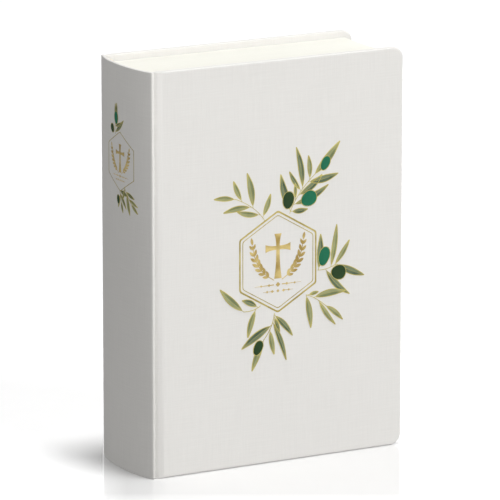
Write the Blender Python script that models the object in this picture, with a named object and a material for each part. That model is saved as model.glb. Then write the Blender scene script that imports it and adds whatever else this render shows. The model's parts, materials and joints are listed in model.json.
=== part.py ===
"""A thick case-bound bible standing upright: padded-edge boards in one bookcloth cover with a rounded hollow back,
28 sewn gatherings, endpapers, mull, kraft lining and head and tail bands.

Frame: metres, +Z up. X runs from the spine (-) to the fore-edge (+), Y from the front cover (-) to the back cover (+).
The origin is the middle of the footprint, on the surface that the book stands on.
In plan, s is the distance from the mid plane y = 0; side -1 is the front half and side +1 the back half.
"""

import math

import bmesh
import bpy
from mathutils import Vector

for old in list(bpy.data.objects):
    bpy.data.objects.remove(old, do_unlink=True)

MM = 0.001

# Driving dimensions, in millimetres
WIDTH = 170.5            # spine's outermost line to the boards' fore-edge
HEIGHT = 240.0
THICK = 63.6             # over both boards
CORNER_R = 6.5           # rounded fore-edge corners of the boards
CLOTH = 0.5              # bookcloth
TURN_IN = 0.4            # bookcloth turned over the board's inside
TURN_W = 15.0
BOARD = 2.4
PASTE = 0.25             # endpaper stock
GAP = 0.1                # glue line between layers
COVER = CLOTH + GAP + BOARD + GAP + TURN_IN + GAP + PASTE
SQUARE_Z = 4.0           # boards overhang the text block at head and tail
SQUARE_X = 4.0           # and at the fore-edge
PAGE_R = 1.2             # rounded page corners
FORE_SAG = 1.8           # hollow of the fore-edge
BULGE = 4.7              # rise of the rounded spine
ROUND_P = 2.46           # exponent of the spine's rounding
INLAY = 0.8
SIG_PER_SIDE = 14
SIG_GAP = 0.12
FLY_GAP = 0.2
FAN_DEG = 80.0           # the covers' shoulder folds open this far with the leaves
FLY_RATIO = 0.965

X0 = -WIDTH / 2
X1 = WIDTH / 2
HALF = THICK / 2
SHOULDER_X = X0 + BULGE                  # the spine's shoulders: x, and distance from the mid plane
SHOULDER_S = HALF - 0.7
IN_S = HALF - COVER                      # inner face of the pastedowns
FLY_OUT = IN_S - FLY_GAP
FLY_IN = FLY_OUT - PASTE
SIG_OUT = FLY_IN - SIG_GAP               # outer limit of the gatherings
PITCH = SIG_OUT / SIG_PER_SIDE
SIG_T = PITCH - SIG_GAP
STEP_DEG = FAN_DEG / (SIG_PER_SIDE + 0.5)
BLOCK_X = X1 - SQUARE_X                  # fore-edge of the block at its outer leaves
Z_TAIL, Z_HEAD = SQUARE_Z, HEIGHT - SQUARE_Z
BOARD_X = SHOULDER_X + 7.1               # boards' spine-side edge
FOLD_1 = (SHOULDER_X + 1.9, HALF - 0.9)  # shoulder fold: x, s
FOLD_2 = (BOARD_X - 0.2, HALF - 0.3)     # board fold: x, s
FLY_X = SHOULDER_X + 5.0                 # where the flyleaf leaves the glued backs

# Offsets of the spine's layers, inward from the outer surface
D_CLOTH = (0.0, CLOTH)
D_INLAY = (CLOTH + GAP, CLOTH + GAP + INLAY)
D_TURN = (D_INLAY[1] + GAP, D_INLAY[1] + GAP + TURN_IN)
D_KRAFT = (D_TURN[1] + 0.3, D_TURN[1] + 0.5)
D_MULL = (D_KRAFT[1] + GAP, D_KRAFT[1] + GAP + 0.3)
D_THREAD = (D_MULL[1] + GAP, D_MULL[1] + GAP + 0.5)
D_FOLDS = D_THREAD[1] + GAP


# Materials
def material(name, colour, roughness, metallic=0.0):
    m = bpy.data.materials.new(name)
    m.use_nodes = True
    p = m.node_tree.nodes["Principled BSDF"]
    p.inputs["Base Color"].default_value = (*colour, 1)
    p.inputs["Roughness"].default_value = roughness
    p.inputs["Metallic"].default_value = metallic
    return m


BOOKCLOTH = material("bookcloth", (0.77, 0.76, 0.73), 0.8)
BOARD_MAT = material("grey_board", (0.42, 0.40, 0.37), 0.9)
CARD_MAT = material("card", (0.55, 0.50, 0.43), 0.9)
ENDPAPER = material("endpaper", (0.80, 0.79, 0.74), 0.85)
PAGES = material("bible_paper", (0.90, 0.88, 0.78), 0.9)
GAUZE = material("mull_gauze", (0.72, 0.68, 0.58), 0.9)
KRAFT = material("kraft_paper", (0.45, 0.31, 0.18), 0.85)
BAND = material("band_silk", (0.86, 0.84, 0.76), 0.5)
THREAD = material("linen_thread", (0.80, 0.76, 0.66), 0.7)


# Solids
def solid(name, loops, mat, hidden=False):
    """A closed solid lofted through loops of equal length, capped at both ends."""
    bm = bmesh.new()
    rings = [[bm.verts.new(Vector(p) * MM) for p in loop] for loop in loops]
    bm.faces.new(rings[0])
    bm.faces.new(list(reversed(rings[-1])))
    n = len(rings[0])
    for a, b in zip(rings, rings[1:]):
        for i in range(n):
            j = (i + 1) % n
            bm.faces.new((a[i], b[i], b[j], a[j]))
    bmesh.ops.recalc_face_normals(bm, faces=bm.faces)
    mesh = bpy.data.meshes.new(name)
    bm.to_mesh(mesh)
    bm.free()
    mesh.materials.append(mat)
    obj = bpy.data.objects.new(name, mesh)
    bpy.context.scene.collection.objects.link(obj)
    if hidden:
        obj.hide_render = True
        obj.display_type = "WIRE"
    return obj


def plan(name, points, z0, z1, mat, hidden=False):
    """A prism: an outline in plan (x, y) from z0 to z1."""
    return solid(name, [[(x, y, z) for x, y in points] for z in (z0, z1)], mat, hidden)


def carve(obj, *cutters):
    for c in cutters:
        m = obj.modifiers.new("cut_" + c.name, "BOOLEAN")
        m.operation = "DIFFERENCE"
        m.solver = "EXACT"
        m.object = c
    return obj


def join(obj, *others):
    for c in others:
        m = obj.modifiers.new("join_" + c.name, "BOOLEAN")
        m.operation = "UNION"
        m.solver = "EXACT"
        m.object = c
    return obj


def side_points(points, side):
    """Plan points given as (x, s), placed on the front (-1) or the back (+1)."""
    return [(x, side * s) for x, s in points]


def from_shoulder(points):
    """Plan points given from the shoulder's x and from the board's outer face, as (x, s)."""
    return [(SHOULDER_X + x, HALF + s) for x, s in points]


def outline_xz(x0, x1, z0, z1, r, steps=6):
    """A plate's outline with its two fore-edge corners rounded, as (x, z)."""
    pts = [(x0, z1), (x0, z0)]
    if r <= 0:
        return pts + [(x1, z0), (x1, z1)]
    for k in range(steps + 1):
        a = -math.pi / 2 + k * math.pi / 2 / steps
        pts.append((x1 - r + r * math.cos(a), z0 + r + r * math.sin(a)))
    for k in range(steps + 1):
        a = k * math.pi / 2 / steps
        pts.append((x1 - r + r * math.cos(a), z1 - r + r * math.sin(a)))
    return pts


def plate(name, side, s0, s1, x0, x1, z0, z1, r, mat, hidden=False, x1_far=None, steps=6):
    """A flat plate between s0 and s1; x1_far shifts the fore-edge at s1."""
    near = [(x, side * s0, z) for x, z in outline_xz(x0, x1, z0, z1, r, steps)]
    far = [(x, side * s1, z) for x, z in outline_xz(x0, x1_far or x1, z0, z1, r, steps)]
    return solid(name, [near, far], mat, hidden)


# The rounded spine
def spine_curve(offset, s_limit, count=33):
    """Points (x, y) of the spine's curve moved inward by offset, for |y| up to s_limit, front to back."""

    def x_of(s):
        return X0 + BULGE * (abs(s) / SHOULDER_S) ** ROUND_P

    pts = []
    for k in range(401):
        s = -SHOULDER_S + 2 * SHOULDER_S * k / 400
        d = 1e-3
        dx = (x_of(s + d) - x_of(s - d)) / (2 * d)
        n = Vector((1.0, -dx)).normalized()
        pts.append((x_of(s) + n.x * offset, s + n.y * offset))
    out = []
    for k in range(count):
        y = -s_limit + 2 * s_limit * k / (count - 1)
        for (xa, ya), (xb, yb) in zip(pts, pts[1:]):
            if ya <= y <= yb:
                out.append((xa + (xb - xa) * (y - ya) / (yb - ya), y))
                break
        else:
            out.append((pts[0][0] if y < 0 else pts[-1][0], y))
    return out


def layer(name, d0, d1, s_limit, z0, z1, mat, count=33, hidden=False):
    outer = spine_curve(d0, s_limit, count)
    inner = spine_curve(d1, s_limit, count)
    return plan(name, outer + inner[::-1], z0, z1, mat, hidden)


# Where each gathering bends away from the glued backs
def bend_points():
    """x of the bend of each gathering, from the mid plane outward, so that full-thickness slabs turned by their
    share of the fan never meet: each inner one starts far enough out to clear its turned neighbour."""
    angle = [math.radians((k + 0.5) * STEP_DEG) for k in range(SIG_PER_SIDE)]
    angle.append(math.radians(FAN_DEG * FLY_RATIO))
    x = [0.0] * SIG_PER_SIDE
    nxt_x, nxt_out = FLY_X, FLY_OUT
    nxt_t = PASTE
    for k in range(SIG_PER_SIDE - 1, -1, -1):
        a, b = angle[k], angle[k + 1]
        out = (k + 1) * PITCH - SIG_GAP / 2
        rise = nxt_out - out
        need = (nxt_t * math.cos(b - a) - rise * math.cos(a)) / math.sin(a)
        x[k] = nxt_x + max(need, 0.0) + 0.05
        nxt_x, nxt_out, nxt_t = x[k], out, SIG_T
    return x


BEND_X = bend_points()
STUB_GAP = 0.15


def fore_x(s):
    return BLOCK_X - FORE_SAG * (1 - (min(abs(s), FLY_OUT) / FLY_OUT) ** 2)


# Case: spine
spine_outer = spine_curve(0.0, SHOULDER_S - 0.05, 33)
ridge = from_shoulder([(0.55, -0.5), (1.1, -0.4), (1.55, -0.65)])
ridge_in = from_shoulder([(1.45, -1.15), (1.0, -0.95), (0.6, -1.15)])
body = spine_outer + side_points(ridge, 1)
inner_line = spine_curve(D_TURN[1], SHOULDER_S - 1.9, 33)
body = body + side_points(ridge_in, 1) + inner_line[::-1] + side_points(ridge_in[::-1], -1) + side_points(ridge[::-1], -1)
spine_cloth = plan("spine_cloth", body, 0, HEIGHT, BOOKCLOTH)
pocket = layer("cut_inlay_pocket", CLOTH, D_TURN[0], SHOULDER_S - 1.8, CLOTH, HEIGHT - CLOTH, BOOKCLOTH, hidden=True)
window = layer("cut_spine_window", CLOTH, D_TURN[1] + 3.0, SHOULDER_S - 1.8, TURN_W, HEIGHT - TURN_W, BOOKCLOTH, hidden=True)
carve(spine_cloth, pocket, window)
layer("spine_inlay", D_INLAY[0], D_INLAY[1], SHOULDER_S - 2.1, CLOTH + GAP, HEIGHT - CLOTH - GAP, CARD_MAT)

# Text block's spine linings and sewing
layer("kraft_lining", D_KRAFT[0], D_KRAFT[1], 26.6, 8, HEIGHT - 8, KRAFT)
layer("spine_mull", D_MULL[0], D_MULL[1], 27.0, 16, HEIGHT - 16, GAUZE)
rows = [("kettle_stitch_tail", 20), ("link_stitch_1", 58), ("link_stitch_2", 99),
        ("link_stitch_3", 141), ("link_stitch_4", 182), ("kettle_stitch_head", 220)]
for name, z in rows:
    layer(name, D_THREAD[0], D_THREAD[1], 26.2, z - 0.25, z + 0.25, THREAD, count=29)

# Head and tail bands: a corded bead over the fold ends, with its tab glued to the folds behind
for name, z_edge, up in (("head_band", Z_HEAD, 1), ("tail_band", Z_TAIL, -1)):
    lo, hi = sorted((z_edge + up * 0.15, z_edge + up * 2.1))
    bead = layer(name, D_THREAD[0], D_THREAD[0] + 2.4, 25.6, lo, hi, BAND, count=25)
    lo, hi = sorted((z_edge + up * 1.6, z_edge - up * 11.5))
    tab = layer("add_" + name, D_THREAD[0], D_THREAD[1], 25.6, lo, hi, BAND, count=25, hidden=True)
    join(bead, tab)

# The gatherings' backs, glued solid up to where each gathering bends
half = []
for k in range(SIG_PER_SIDE):
    s_in = 0.0 if k == 0 else k * PITCH
    half += [(BEND_X[k] - STUB_GAP, s_in), (BEND_X[k] - STUB_GAP, (k + 1) * PITCH)]
half += [(FLY_X - STUB_GAP, SIG_OUT), (FLY_X - STUB_GAP, FLY_OUT)]
hump = side_points(half, 1)[::-1] + side_points(half[1:], -1)
backs_curve = spine_curve(D_FOLDS, FLY_OUT, 33)
plan("glued_backs", backs_curve + hump, Z_TAIL, Z_HEAD, PAGES)

# Gatherings, numbered from the front cover
for side in (-1, 1):
    for k in range(SIG_PER_SIDE):
        number = SIG_PER_SIDE - k if side < 0 else SIG_PER_SIDE + 1 + k
        s_in, s_out = k * PITCH + SIG_GAP / 2, (k + 1) * PITCH - SIG_GAP / 2
        plate(f"gathering_{number:02d}", side, s_in, s_out, BEND_X[k], fore_x(s_in), Z_TAIL, Z_HEAD,
              PAGE_R, PAGES, x1_far=fore_x(s_out), steps=4)

# Each side: boards, cloth, endpapers and mull
for side, word in ((-1, "front"), (1, "back")):
    plate(f"{word}_flyleaf", side, FLY_IN, FLY_OUT, FLY_X, fore_x(FLY_OUT), Z_TAIL, Z_HEAD, PAGE_R, ENDPAPER, steps=4)

    # Cover cloth: over the board's outside, round its three free edges and turned in
    s_turn = HALF - CLOTH - GAP - BOARD - GAP - TURN_IN
    cloth = plate(f"{word}_cover_cloth", side, s_turn, HALF, BOARD_X, X1, 0, HEIGHT, CORNER_R, BOOKCLOTH)
    pocket = plate(f"cut_{word}_board_pocket", side, s_turn + TURN_IN, HALF - CLOTH, BOARD_X - 5, X1 - CLOTH,
                   CLOTH, HEIGHT - CLOTH, CORNER_R - CLOTH, BOOKCLOTH, hidden=True)
    window = plate(f"cut_{word}_window", side, s_turn - 5, HALF - CLOTH - 0.2, BOARD_X - 6, X1 - TURN_W,
                   TURN_W, HEIGHT - TURN_W, 2.0, BOOKCLOTH, hidden=True)
    carve(cloth, pocket, window)
    s_b1 = HALF - CLOTH - GAP
    s_b0 = s_b1 - BOARD
    plate(f"{word}_board", side, s_b0, s_b1, BOARD_X + 0.15, X1 - CLOTH - GAP, CLOTH + GAP,
          HEIGHT - CLOTH - GAP, CORNER_R - CLOTH - GAP, BOARD_MAT)

    # Mull flange glued to the board, and the pastedown over it and over the turn-ins
    flange_x = BOARD_X + 26
    plate(f"{word}_mull_flange", side, s_b0 - GAP - 0.3, s_b0 - GAP, BOARD_X + 0.3, flange_x,
          TURN_W + 1.5, HEIGHT - TURN_W - 1.5, 0, GAUZE)
    inset = 4.2
    paste = plate(f"{word}_pastedown", side, IN_S, IN_S + PASTE, BOARD_X + 0.3, X1 - inset, inset,
                  HEIGHT - inset, CORNER_R - 2.5, ENDPAPER)
    under = plate(f"add_{word}_pastedown", side, IN_S + 0.1, s_b0 - GAP, flange_x + 0.4, X1 - TURN_W - 0.3,
                  TURN_W + 0.3, HEIGHT - TURN_W - 0.3, 1.7, ENDPAPER, hidden=True)
    join(paste, under)

    # The joint: cloth in the groove, mull and endpaper under it
    top = from_shoulder([(1.95, -1.05), (2.4, -1.45), (3.1, -1.55), (4.1, -1.35), (5.3, -0.95), (6.55, -0.4)])
    low = [(x + 0.05, s - 0.5) for x, s in top]
    plan(f"{word}_joint_cloth", side_points(top + low[::-1], side), 0, HEIGHT, BOOKCLOTH)
    mull = from_shoulder([(2.1, -2.6), (4.3, -2.75), (6.3, -2.75), (6.3, -3.05), (4.3, -3.05), (2.1, -2.9)])
    plan(f"{word}_joint_mull", side_points(mull, side), 16, HEIGHT - 16, GAUZE)
    fold = from_shoulder([(2.3, -3.4), (4.3, -3.5), (6.55, -3.5), (6.55, -3.75), (4.3, -3.75), (2.3, -3.65)])
    plan(f"{word}_endpaper_fold", side_points(fold, side), Z_TAIL, Z_HEAD, ENDPAPER)
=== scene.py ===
"""Looks for a thick cloth-bound bible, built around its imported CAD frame."""

import json
import math

import bmesh
import bpy
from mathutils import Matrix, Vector

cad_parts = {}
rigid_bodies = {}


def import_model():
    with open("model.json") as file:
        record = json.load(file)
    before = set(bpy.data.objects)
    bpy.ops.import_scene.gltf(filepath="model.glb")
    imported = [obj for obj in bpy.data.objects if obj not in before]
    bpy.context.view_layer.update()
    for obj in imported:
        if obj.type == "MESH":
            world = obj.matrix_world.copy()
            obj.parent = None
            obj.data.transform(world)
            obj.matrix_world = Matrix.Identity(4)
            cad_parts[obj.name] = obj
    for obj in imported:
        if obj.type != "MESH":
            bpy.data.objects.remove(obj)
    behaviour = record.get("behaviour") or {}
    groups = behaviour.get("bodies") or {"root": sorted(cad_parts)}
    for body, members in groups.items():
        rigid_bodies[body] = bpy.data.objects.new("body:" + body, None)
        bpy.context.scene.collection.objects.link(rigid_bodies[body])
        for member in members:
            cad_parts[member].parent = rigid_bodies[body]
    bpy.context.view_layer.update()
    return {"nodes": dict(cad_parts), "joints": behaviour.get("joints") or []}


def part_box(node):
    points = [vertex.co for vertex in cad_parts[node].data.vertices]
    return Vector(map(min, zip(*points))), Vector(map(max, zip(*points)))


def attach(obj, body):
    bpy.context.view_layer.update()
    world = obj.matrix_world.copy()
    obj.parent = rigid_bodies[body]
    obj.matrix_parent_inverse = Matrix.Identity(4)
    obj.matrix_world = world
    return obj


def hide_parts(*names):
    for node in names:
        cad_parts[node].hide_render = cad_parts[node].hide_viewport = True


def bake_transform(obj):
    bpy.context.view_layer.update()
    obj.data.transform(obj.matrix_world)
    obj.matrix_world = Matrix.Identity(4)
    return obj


for old in list(bpy.data.objects):
    bpy.data.objects.remove(old, do_unlink=True)

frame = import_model()
nodes = frame["nodes"]
joint = {j["name"]: j for j in frame["joints"]}

MM = 0.001

# The book in millimetres, as in the CAD
X1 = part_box("front_cover_cloth")[1].x / MM
X0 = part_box("spine_cloth")[0].x / MM
HALF = -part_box("front_cover_cloth")[0].y / MM
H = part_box("front_cover_cloth")[1].z / MM
BULGE, ROUND_P = 4.7, 2.46
SHX = X0 + BULGE
SHS = HALF - 0.7
CORNER = 6.5
COVER_IN = 3.5             # from the cover's outer face to the face of its turn-ins
SPINE_RIM = 1.9            # cloth, card and turned-in cloth at the ends of the spine
FOLDS = 3.5                # from the spine's outer face to the backs of the gatherings
SQUARE = 4.0
SIGS = 14
BLOCK_S = 27.75            # outer face of the flyleaves
PLATE_X = 7.0              # where the boards' cloth starts, from the shoulder


def v3(x, y, z):
    return (x * MM, y * MM, z * MM)


# ---------------------------------------------------------------- node helpers
def new_mat(name, rough=0.8, metallic=0.0, sheen=0.0, spec=0.3):
    m = bpy.data.materials.new(name)
    m.use_nodes = True
    nt = m.node_tree
    p = nt.nodes["Principled BSDF"]
    p.inputs["Roughness"].default_value = rough
    p.inputs["Metallic"].default_value = metallic
    p.inputs["Sheen Weight"].default_value = sheen
    p.inputs["Specular IOR Level"].default_value = spec
    return m, nt, p


def node(nt, kind, **inputs):
    n = nt.nodes.new(kind)
    for k, v in inputs.items():
        n.inputs[k].default_value = v
    return n


def maths(nt, op, a, b=None, c=None):
    n = nt.nodes.new("ShaderNodeMath")
    n.operation = op
    for i, v in enumerate((a, b, c)):
        if v is None:
            continue
        if isinstance(v, (int, float)):
            n.inputs[i].default_value = v
        else:
            nt.links.new(v, n.inputs[i])
    return n.outputs[0]


def mix_colour(nt, fac, a, b):
    n = nt.nodes.new("ShaderNodeMix")
    n.data_type = "RGBA"
    if isinstance(fac, (int, float)):
        n.inputs["Factor"].default_value = fac
    else:
        nt.links.new(fac, n.inputs["Factor"])
    for sock, v in ((n.inputs[6], a), (n.inputs[7], b)):
        if isinstance(v, tuple):
            sock.default_value = (*v, 1)
        else:
            nt.links.new(v, sock)
    return n.outputs[2]


def noise(nt, vec, scale, detail=2.0, rough=0.5):
    n = node(nt, "ShaderNodeTexNoise", Scale=scale, Detail=detail, Roughness=rough)
    nt.links.new(vec, n.inputs["Vector"])
    return n.outputs["Fac"]


def mapped(nt, vec, scale):
    n = node(nt, "ShaderNodeMapping", Scale=scale)
    nt.links.new(vec, n.inputs["Vector"])
    return n.outputs["Vector"]


def remap(nt, v, a, b, c, d):
    n = node(nt, "ShaderNodeMapRange")
    nt.links.new(v, n.inputs["Value"])
    for k, x in zip(("From Min", "From Max", "To Min", "To Max"), (a, b, c, d)):
        n.inputs[k].default_value = x
    return n.outputs["Result"]


def bump(nt, p, height, distance, strength=1.0):
    n = node(nt, "ShaderNodeBump", Strength=strength, Distance=distance)
    nt.links.new(height, n.inputs["Height"])
    nt.links.new(n.outputs["Normal"], p.inputs["Normal"])


def uv(nt, name="weave"):
    n = nt.nodes.new("ShaderNodeUVMap")
    n.uv_map = name
    return n.outputs["UV"]


def split(nt, vec):
    n = nt.nodes.new("ShaderNodeSeparateXYZ")
    nt.links.new(vec, n.inputs[0])
    return n.outputs


# ------------------------------------------------------------------- materials
def linen(name, tint, dark, thread=0.42):
    """Plain-woven linen bookcloth: over-and-under threads, slubs both ways, a soft mottle, and painted shade that
    darkens the hollows of the weave. UV is in metres.
    """
    m, nt, p = new_mat(name, rough=0.82, sheen=0.12, spec=0.22)
    c = uv(nt)
    s = split(nt, c)
    k = math.pi / (thread * MM)
    wob = noise(nt, mapped(nt, c, (160, 160, 1)), 1.0, 2.0)
    u = maths(nt, "MULTIPLY_ADD", wob, 0.5 * thread * MM, s[0])
    v = maths(nt, "MULTIPLY_ADD", wob, 0.4 * thread * MM, s[1])
    a = maths(nt, "SINE", maths(nt, "MULTIPLY", u, k))
    b = maths(nt, "SINE", maths(nt, "MULTIPLY", v, k))
    plain = maths(nt, "MULTIPLY", a, b)
    height = maths(nt, "MULTIPLY_ADD", plain, 0.5, 0.5)
    slub_u = noise(nt, mapped(nt, c, (45, 1500, 1)), 1.0, 3.0, 0.6)
    slub_v = noise(nt, mapped(nt, c, (1500, 45, 1)), 1.0, 3.0, 0.6)
    slub = maths(nt, "ADD", slub_u, slub_v)
    height = maths(nt, "ADD", height, maths(nt, "MULTIPLY", slub, 0.9))
    mottle = noise(nt, mapped(nt, c, (18, 18, 1)), 1.0, 4.0, 0.55)
    f = remap(nt, slub, 0.7, 1.3, 0.0, 1.0)
    f = maths(nt, "ADD", maths(nt, "MULTIPLY", f, 0.55), maths(nt, "MULTIPLY", mottle, 0.25))
    # Painted shade in the weave: the colour is lighter on the raised thread crossings and darker in the hollows,
    # following the same height as the bump.
    f = maths(nt, "ADD", f, maths(nt, "MULTIPLY", remap(nt, plain, -1, 1, 0, 1), 0.20))
    nt.links.new(mix_colour(nt, f, dark, tint), p.inputs["Base Color"])
    nt.links.new(remap(nt, slub, 0.6, 1.4, 0.9, 0.74), p.inputs["Roughness"])
    bump(nt, p, height, 0.05 * MM, 0.8)
    return m


def paper(name, light, dark, edge=False, rough=0.9):
    """Uncoated paper. With edge, the cut edges show the leaves as fine uneven lines; the v of the UV runs through the
    thickness, in metres."""
    m, nt, p = new_mat(name, rough=rough, spec=0.2)
    c = uv(nt)
    s = split(nt, c)
    fibre = noise(nt, mapped(nt, c, (900, 900, 1)), 1.0, 3.0, 0.6)
    cloudy = noise(nt, mapped(nt, c, (30, 30, 1)), 1.0, 3.0)
    f = maths(nt, "ADD", maths(nt, "MULTIPLY", fibre, 0.35), maths(nt, "MULTIPLY", cloudy, 0.4))
    height = fibre
    if edge:
        fine = noise(nt, mapped(nt, c, (6, 9000, 1)), 1.0, 2.0, 0.7)
        broad = noise(nt, mapped(nt, c, (3, 1400, 1)), 1.0, 3.0, 0.6)
        lines = maths(nt, "ADD", maths(nt, "MULTIPLY", fine, 0.5), maths(nt, "MULTIPLY", broad, 0.5))
        f = maths(nt, "ADD", maths(nt, "MULTIPLY", f, 0.35), maths(nt, "MULTIPLY", remap(nt, lines, 0.3, 0.7, 0, 1), 0.75))
        height = lines
        bump(nt, p, height, 0.06 * MM, 0.7)
    else:
        bump(nt, p, height, 0.02 * MM, 0.35)
    nt.links.new(mix_colour(nt, f, dark, light), p.inputs["Base Color"])
    return m


def threads(nt, thread=0.42):
    """Height of the linen's threads under anything stamped on it, from the same UV."""
    c = uv(nt)
    t = split(nt, c)
    k = math.pi / (thread * MM)
    wob = noise(nt, mapped(nt, c, (160, 160, 1)), 1.0, 2.0)
    a = maths(nt, "SINE", maths(nt, "MULTIPLY", maths(nt, "MULTIPLY_ADD", wob, 0.5 * thread * MM, t[0]), k))
    b = maths(nt, "SINE", maths(nt, "MULTIPLY", maths(nt, "MULTIPLY_ADD", wob, 0.4 * thread * MM, t[1]), k))
    return maths(nt, "MULTIPLY_ADD", maths(nt, "MULTIPLY", a, b), 0.5, 0.5)


def leafy(name, light, dark, tip, rough=0.65):
    """Printed leaf: one half deeper than the other across the midrib, fine veins, and gold breathing in at base and tip."""
    m, nt, p = new_mat(name, rough=rough, spec=0.1)
    s = split(nt, uv(nt, "along"))
    c = uv(nt)
    drift = noise(nt, mapped(nt, c, (130, 130, 1)), 1.0, 2.0)
    n = node(nt, "ShaderNodeTexNoise", Scale=1.0, Detail=2.0, Roughness=0.5)
    shift = nt.nodes.new("ShaderNodeCombineXYZ")
    nt.links.new(maths(nt, "MULTIPLY", s[0], 2.0), shift.inputs[0])
    nt.links.new(maths(nt, "MULTIPLY", s[1], 14.0), shift.inputs[1])
    nt.links.new(drift, shift.inputs[2])
    nt.links.new(shift.outputs[0], n.inputs["Vector"])
    half = remap(nt, s[1], 0.42, 0.58, 0.0, 0.62)
    f = maths(nt, "ADD", half, maths(nt, "MULTIPLY", remap(nt, n.outputs["Fac"], 0.35, 0.65, 0.0, 1.0), 0.28))
    f = maths(nt, "ADD", f, maths(nt, "MULTIPLY", remap(nt, drift, 0.35, 0.65, -1.0, 1.0), 0.2))
    clamp = nt.nodes.new("ShaderNodeClamp")
    nt.links.new(f, clamp.inputs[0])
    body = mix_colour(nt, clamp.outputs[0], light, dark)
    ends = maths(nt, "MAXIMUM", remap(nt, s[0], 0.72, 1.0, 0.0, 0.85), remap(nt, s[0], 0.0, 0.16, 0.6, 0.0))
    nt.links.new(mix_colour(nt, ends, body, tip), p.inputs["Base Color"])
    bump(nt, p, threads(nt), 0.03 * MM, 0.5)
    return m


def fruit(name, light, dark, rough=0.6):
    """Printed olive with a soft bloom towards one side."""
    m, nt, p = new_mat(name, rough=rough, spec=0.12)
    s = split(nt, uv(nt, "along"))
    c = uv(nt)
    cloud = noise(nt, mapped(nt, c, (420, 420, 1)), 1.0, 3.0, 0.55)
    g = maths(nt, "ADD", maths(nt, "MULTIPLY", s[0], 0.45), maths(nt, "MULTIPLY", s[1], 0.35))
    f = maths(nt, "ADD", g, maths(nt, "MULTIPLY", remap(nt, cloud, 0.35, 0.65, 0.0, 1.0), 0.25))
    nt.links.new(mix_colour(nt, f, dark, light), p.inputs["Base Color"])
    bump(nt, p, threads(nt), 0.03 * MM, 0.5)
    return m


def foil(name, light, dark, rough=0.34, patch=110):
    """Hot-stamped gold: the linen's threads show through, and its tone drifts from light to deep gold."""
    m, nt, p = new_mat(name, rough=rough, metallic=0.88, spec=0.5)
    c = uv(nt)
    drift = noise(nt, mapped(nt, c, (patch, patch * 1.3, 1)), 1.0, 2.0)
    wear = noise(nt, mapped(nt, c, (1500, 1500, 1)), 1.0, 3.0, 0.6)
    f = maths(nt, "ADD", maths(nt, "MULTIPLY", remap(nt, drift, 0.36, 0.64, 0, 1), 0.85), maths(nt, "MULTIPLY", wear, 0.15))
    nt.links.new(mix_colour(nt, f, dark, light), p.inputs["Base Color"])
    nt.links.new(remap(nt, wear, 0.3, 0.7, rough - 0.08, rough + 0.16), p.inputs["Roughness"])
    bump(nt, p, threads(nt), 0.035 * MM, 0.6)
    return m


def striped(name, a, b, pitch):
    """Headband silk: wound threads over a core, two colours in turn."""
    m, nt, p = new_mat(name, rough=0.55, sheen=0.2, spec=0.35)
    t = nt.nodes.new("ShaderNodeTexCoord").outputs["Object"]
    s = split(nt, t)
    w = maths(nt, "SINE", maths(nt, "MULTIPLY", s[1], 2 * math.pi / (pitch * MM)))
    thread = maths(nt, "SINE", maths(nt, "MULTIPLY", s[1], 2 * math.pi / (0.25 * MM)))
    nt.links.new(mix_colour(nt, remap(nt, w, -0.15, 0.15, 0, 1), a, b), p.inputs["Base Color"])
    bump(nt, p, thread, 0.05 * MM, 0.8)
    return m


def plainish(name, light, dark, scale=900, rough=0.9, depth=0.04):
    m, nt, p = new_mat(name, rough=rough, spec=0.2)
    t = nt.nodes.new("ShaderNodeTexCoord").outputs["Object"]
    f = noise(nt, mapped(nt, t, (scale, scale, scale)), 1.0, 4.0, 0.65)
    nt.links.new(mix_colour(nt, remap(nt, f, 0.3, 0.7, 0, 1), dark, light), p.inputs["Base Color"])
    bump(nt, p, f, depth * MM, 0.7)
    return m


def gauze(name):
    m, nt, p = new_mat(name, rough=0.9, spec=0.15)
    t = nt.nodes.new("ShaderNodeTexCoord").outputs["Object"]
    s = split(nt, t)
    grid = [maths(nt, "SINE", maths(nt, "MULTIPLY", s[i], 2 * math.pi / (0.9 * MM))) for i in (1, 2)]
    h = maths(nt, "MAXIMUM", grid[0], grid[1])
    nt.links.new(mix_colour(nt, remap(nt, h, 0, 0.8, 0, 1), (0.50, 0.46, 0.38), (0.78, 0.74, 0.64)), p.inputs["Base Color"])
    bump(nt, p, h, 0.12 * MM, 0.9)
    return m


CLOTH = linen("bookcloth", (0.745, 0.732, 0.705), (0.675, 0.662, 0.637))
PAGES = paper("bible_paper", (0.84, 0.835, 0.775), (0.77, 0.76, 0.688), edge=True)
ENDS = paper("endpaper", (0.86, 0.855, 0.835), (0.81, 0.805, 0.78), rough=0.85)
BOARD = plainish("grey_board", (0.50, 0.47, 0.43), (0.36, 0.34, 0.31))
CARD = plainish("card", (0.60, 0.55, 0.47), (0.50, 0.45, 0.38))
KRAFT = plainish("kraft_paper", (0.50, 0.35, 0.21), (0.40, 0.27, 0.15))
GAUZE = gauze("mull_gauze")
SILK = striped("band_silk", (0.86, 0.84, 0.78), (0.72, 0.60, 0.33), 1.6)
THREAD = plainish("linen_thread", (0.84, 0.80, 0.70), (0.66, 0.61, 0.50), 4000, 0.7)
GOLD = foil("gold_foil", (0.66, 0.52, 0.22), (0.33, 0.23, 0.065), patch=95)
GOLD_FRAME = foil("gold_frame", (0.46, 0.38, 0.125), (0.30, 0.24, 0.065), 0.38)
GOLD_LINE = foil("gold_line", (0.53, 0.46, 0.15), (0.37, 0.31, 0.085), 0.4)
LEAF = leafy("leaf_sage", (0.32, 0.335, 0.175), (0.15, 0.18, 0.09), (0.47, 0.42, 0.15))
LEAF_DARK = leafy("leaf_deep", (0.185, 0.225, 0.135), (0.06, 0.092, 0.06), (0.36, 0.34, 0.14))
EMERALD = fruit("olive_emerald", (0.018, 0.165, 0.086), (0.010, 0.11, 0.056))
DARK = fruit("olive_dark", (0.026, 0.060, 0.020), (0.014, 0.035, 0.012))


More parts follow.
